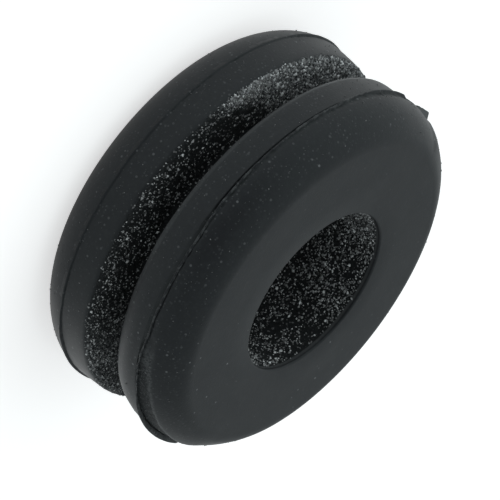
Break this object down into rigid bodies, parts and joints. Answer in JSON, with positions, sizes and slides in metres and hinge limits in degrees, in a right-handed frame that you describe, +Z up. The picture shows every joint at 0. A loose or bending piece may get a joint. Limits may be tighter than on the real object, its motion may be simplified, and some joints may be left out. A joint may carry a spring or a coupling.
{
  "type": "rubber grommet",
  "caption": "Black moulded rubber grommet: a ring with crowned flanges, a groove between them for a panel edge and a straight cable hole.",
  "frame": {"origin": "centre of the lower end face, on the axis of the cable hole", "axes": "+Z up along the cable hole, towards the flange that is nearest in the picture; -Y towards the side that the picture shows; +X completes the right-handed frame"},
  "size_m": [0.0182, 0.018, 0.0081],
  "materials": {
    "rubber": "matt black, with pale talc specks in the groove and the cable hole"
  },
  "bodies": {
    "root": {"grommet": "rubber"}
  },
  "joints": []
}
